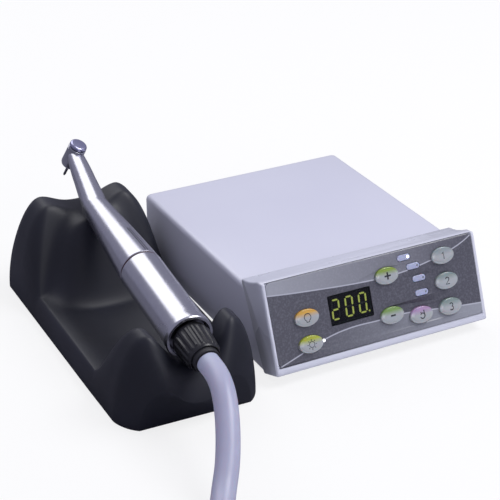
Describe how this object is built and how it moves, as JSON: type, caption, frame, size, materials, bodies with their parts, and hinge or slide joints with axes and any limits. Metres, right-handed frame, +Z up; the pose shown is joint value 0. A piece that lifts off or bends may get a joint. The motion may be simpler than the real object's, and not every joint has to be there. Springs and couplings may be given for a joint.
{
  "type": "dental micromotor set",
  "caption": "Dental electric micromotor: sloped keypad control unit, contra-angle handpiece resting on a saddle cradle, and its coiled hose.",
  "frame": {"origin": "on the table, under the middle of the box round the control unit, the cradle and the handpiece (hose left out)", "axes": "+Z up, -Y the side that the keypad faces, +Y along the handpiece towards its head, +X to the unit's right as its user sees it"},
  "size_m": [0.2717, 0.4428, 0.0844],
  "materials": {
    "casing_white": "satin pearl white",
    "panel_dark": "smooth dark sheet with lighter bands",
    "display_window": "dark glossy window",
    "display_black": "dark",
    "lamp_lens": "translucent",
    "button_amber": "translucent dome",
    "button_green": "translucent dome",
    "button_violet": "translucent dome",
    "button_grey": "translucent dome",
    "cradle_black": "matte",
    "satin_steel": "satin",
    "black_plastic": "satin",
    "board_green": "lacquered",
    "copper": "bare wire",
    "core_iron": "bare",
    "magnet": "ground",
    "ring_maroon": "gloss",
    "rubber": "matte",
    "hose_grey": "satin silicone"
  },
  "bodies": {
    "control_unit": {"base_plate": "black_plastic", "case_screw_1": "satin_steel", "case_screw_2": "satin_steel", "case_screw_3": "satin_steel", "case_screw_4": "satin_steel", "cradle_body": "cradle_black", "digit_display": "display_black", "display_board": "board_green", "display_window": "display_window", "foot_control_jack": "satin_steel", "front_bezel": "casing_white", "hose": "hose_grey", "hose_coil": "hose_grey", "hose_plug": "black_plastic", "housing_shell": "casing_white", "indicator_1": "lamp_lens", "indicator_2": "lamp_lens", "indicator_3": "lamp_lens", "indicator_4": "lamp_lens", "keypad_overlay": "panel_dark", "main_board": "board_green", "mains_inlet": "black_plastic", "motor_socket": "satin_steel", "power_switch": "black_plastic", "rear_panel": "black_plastic", "rubber_foot_1": "rubber", "rubber_foot_2": "rubber", "rubber_foot_3": "rubber", "rubber_foot_4": "rubber", "transformer_core": "core_iron", "transformer_winding": "copper"},
    "handpiece": {"motor_sleeve": "satin_steel", "motor_nose": "satin_steel", "motor_stator": "copper", "rear_bearing": "satin_steel", "front_bearing": "satin_steel", "union_nut": "black_plastic", "hose_collar": "black_plastic"},
    "contra_angle": {"contra_angle_body": "satin_steel", "colour_ring": "ring_maroon", "drive_bearing": "satin_steel", "neck_bearing": "satin_steel", "lower_head_bearing": "satin_steel", "upper_head_bearing": "satin_steel", "cap_spring": "satin_steel"},
    "rotor": {"motor_rotor": "magnet"},
    "drive_shaft": {"drive_shaft": "satin_steel"},
    "neck_shaft": {"neck_shaft": "satin_steel"},
    "spindle": {"chuck_spindle": "satin_steel"},
    "bur": {"bur": "satin_steel"},
    "push_cap": {"push_cap": "satin_steel"},
    "power_rocker": {"power_rocker": "black_plastic"},
    "button_lamp": {"button_lamp": "button_amber"},
    "button_brightness": {"button_brightness": "button_green"},
    "button_plus": {"button_plus": "button_green"},
    "button_minus": {"button_minus": "button_green"},
    "button_direction": {"button_direction": "button_violet"},
    "button_memory_1": {"button_memory_1": "button_grey"},
    "button_memory_2": {"button_memory_2": "button_grey"},
    "button_memory_3": {"button_memory_3": "button_grey"}
  },
  "joints": [
    {"name": "handpiece_lift", "type": "slide", "parent": "control_unit", "child": "handpiece", "axis": [0, 0, 1], "range_m": [0, 0.045]},
    {"name": "contra_angle_swivel", "type": "hinge", "parent": "handpiece", "child": "contra_angle", "pos_m": [-0.07321, -0.0814, 0.0449], "axis": [0.0329, 0.993, 0.1132], "range_deg": [-60, 60]},
    {"name": "rotor_spin", "type": "hinge", "parent": "handpiece", "child": "rotor", "pos_m": [-0.07321, -0.0814, 0.0449], "axis": [0.0329, 0.993, 0.1132], "continuous": true},
    {"name": "drive_shaft_spin", "type": "hinge", "parent": "contra_angle", "child": "drive_shaft", "pos_m": [-0.06874, 0.05325, 0.06025], "axis": [0.0329, 0.993, 0.1132], "continuous": true},
    {"name": "neck_shaft_spin", "type": "hinge", "parent": "contra_angle", "child": "neck_shaft", "pos_m": [-0.06874, 0.05325, 0.06025], "axis": [0.1085, 0.9375, 0.3307], "continuous": true},
    {"name": "spindle_spin", "type": "hinge", "parent": "contra_angle", "child": "spindle", "pos_m": [-0.06375, 0.09638, 0.07546], "axis": [0.3083, -0.348, 0.8854], "continuous": true},
    {"name": "bur_draw", "type": "slide", "parent": "spindle", "child": "bur", "axis": [-0.3083, 0.348, -0.8854], "range_m": [0, 0.012]},
    {"name": "cap_push", "type": "slide", "parent": "contra_angle", "child": "push_cap", "axis": [-0.3083, 0.348, -0.8854], "range_m": [0, 0.0004], "stiffness_N_per_m": 5000, "springref_m": -0.0002},
    {"name": "power_rocker_tilt", "type": "hinge", "parent": "control_unit", "child": "power_rocker", "pos_m": [0.04818, 0.086, 0.0234], "axis": [1, 0, 0], "range_deg": [0, 16]},
    {"name": "button_lamp_press", "type": "slide", "parent": "control_unit", "child": "button_lamp", "axis": [0, 0.9272, -0.3746], "range_m": [0, 0.0004], "stiffness_N_per_m": 3000, "springref_m": -0.0001},
    {"name": "button_brightness_press", "type": "slide", "parent": "control_unit", "child": "button_brightness", "axis": [0, 0.9272, -0.3746], "range_m": [0, 0.0004], "stiffness_N_per_m": 3000, "springref_m": -0.0001},
    {"name": "button_plus_press", "type": "slide", "parent": "control_unit", "child": "button_plus", "axis": [0, 0.9272, -0.3746], "range_m": [0, 0.0004], "stiffness_N_per_m": 3000, "springref_m": -0.0001},
    {"name": "button_minus_press", "type": "slide", "parent": "control_unit", "child": "button_minus", "axis": [0, 0.9272, -0.3746], "range_m": [0, 0.0004], "stiffness_N_per_m": 3000, "springref_m": -0.0001},
    {"name": "button_direction_press", "type": "slide", "parent": "control_unit", "child": "button_direction", "axis": [0, 0.9272, -0.3746], "range_m": [0, 0.0004], "stiffness_N_per_m": 3000, "springref_m": -0.0001},
    {"name": "button_memory_1_press", "type": "slide", "parent": "control_unit", "child": "button_memory_1", "axis": [0, 0.9272, -0.3746], "range_m": [0, 0.0004], "stiffness_N_per_m": 3000, "springref_m": -0.0001},
    {"name": "button_memory_2_press", "type": "slide", "parent": "control_unit", "child": "button_memory_2", "axis": [0, 0.9272, -0.3746], "range_m": [0, 0.0004], "stiffness_N_per_m": 3000, "springref_m": -0.0001},
    {"name": "button_memory_3_press", "type": "slide", "parent": "control_unit", "child": "button_memory_3", "axis": [0, 0.9272, -0.3746], "range_m": [0, 0.0004], "stiffness_N_per_m": 3000, "springref_m": -0.0001}
  ],
  "couplings": [
    {"joint": "drive_shaft_spin", "follows": "rotor_spin", "ratio": 1},
    {"joint": "neck_shaft_spin", "follows": "rotor_spin", "ratio": 2.5},
    {"joint": "spindle_spin", "follows": "rotor_spin", "ratio": -5}
  ]
}
